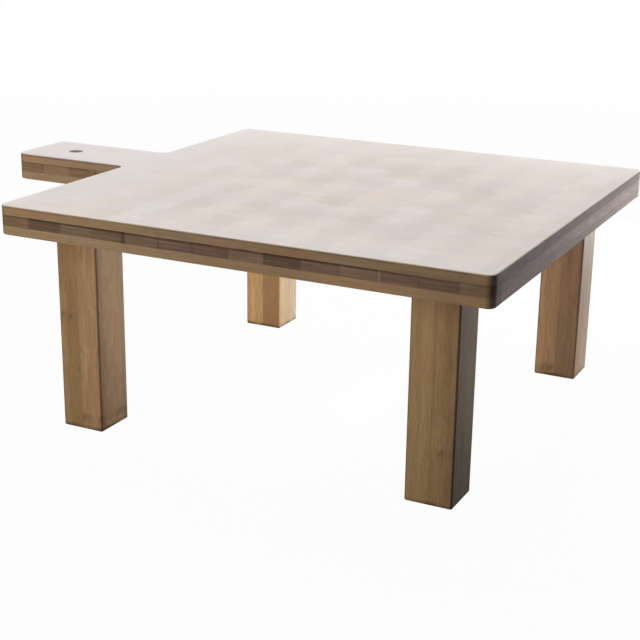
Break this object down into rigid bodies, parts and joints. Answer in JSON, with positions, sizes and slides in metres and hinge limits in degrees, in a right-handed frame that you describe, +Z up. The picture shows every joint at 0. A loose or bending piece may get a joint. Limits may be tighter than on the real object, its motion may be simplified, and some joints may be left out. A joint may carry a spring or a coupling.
{
  "type": "raised bamboo serving board",
  "caption": "Low bamboo table in the form of a paddle board: a cross-laminated panel with a handle and a hanging hole, raised on square laminated legs dowelled under its corners.",
  "frame": {"origin": "on the floor, under the middle of the footprint with the handle included", "axes": "+X along the board's long front edge, away from the handle; +Y from the front edge to the back edge; +Z up, out of the serving face"},
  "size_m": [0.419, 0.312, 0.149],
  "materials": {
    "top_ply_bamboo": "sanded, pale",
    "core_ply_bamboo": "sawn end grain, oiled",
    "bottom_ply_bamboo": "sanded, satin",
    "leg_bamboo": "sanded, satin",
    "dowel_bamboo": "raw, grooved"
  },
  "bodies": {
    "root": {"top_strip_01": "top_ply_bamboo", "top_strip_02": "top_ply_bamboo", "top_strip_03": "top_ply_bamboo", "top_strip_04": "top_ply_bamboo", "top_strip_05": "top_ply_bamboo", "top_strip_06": "top_ply_bamboo", "top_strip_07": "top_ply_bamboo", "top_strip_08": "top_ply_bamboo", "top_strip_09": "top_ply_bamboo", "top_strip_10": "top_ply_bamboo", "top_strip_11": "top_ply_bamboo", "top_strip_12": "top_ply_bamboo", "top_strip_13": "top_ply_bamboo", "top_strip_14": "top_ply_bamboo", "core_strip_01": "core_ply_bamboo", "core_strip_02": "core_ply_bamboo", "core_strip_03": "core_ply_bamboo", "core_strip_04": "core_ply_bamboo", "core_strip_05": "core_ply_bamboo", "core_strip_06": "core_ply_bamboo", "core_strip_07": "core_ply_bamboo", "core_strip_08": "core_ply_bamboo", "core_strip_09": "core_ply_bamboo", "core_strip_10": "core_ply_bamboo", "core_strip_11": "core_ply_bamboo", "core_strip_12": "core_ply_bamboo", "core_strip_13": "core_ply_bamboo", "core_strip_14": "core_ply_bamboo", "core_strip_15": "core_ply_bamboo", "core_strip_16": "core_ply_bamboo", "core_strip_17": "core_ply_bamboo", "core_strip_18": "core_ply_bamboo", "bottom_strip_01": "bottom_ply_bamboo", "bottom_strip_02": "bottom_ply_bamboo", "bottom_strip_03": "bottom_ply_bamboo", "bottom_strip_04": "bottom_ply_bamboo", "bottom_strip_05": "bottom_ply_bamboo", "bottom_strip_06": "bottom_ply_bamboo", "bottom_strip_07": "bottom_ply_bamboo", "bottom_strip_08": "bottom_ply_bamboo", "bottom_strip_09": "bottom_ply_bamboo", "bottom_strip_10": "bottom_ply_bamboo", "bottom_strip_11": "bottom_ply_bamboo", "bottom_strip_12": "bottom_ply_bamboo", "bottom_strip_13": "bottom_ply_bamboo", "bottom_strip_14": "bottom_ply_bamboo", "front_left_leg_left_half": "leg_bamboo", "front_left_leg_right_half": "leg_bamboo", "front_right_leg_left_half": "leg_bamboo", "front_right_leg_right_half": "leg_bamboo", "back_right_leg_left_half": "leg_bamboo", "back_right_leg_right_half": "leg_bamboo", "back_left_leg_left_half": "leg_bamboo", "back_left_leg_right_half": "leg_bamboo", "leg_dowels": "dowel_bamboo"}
  },
  "joints": []
}
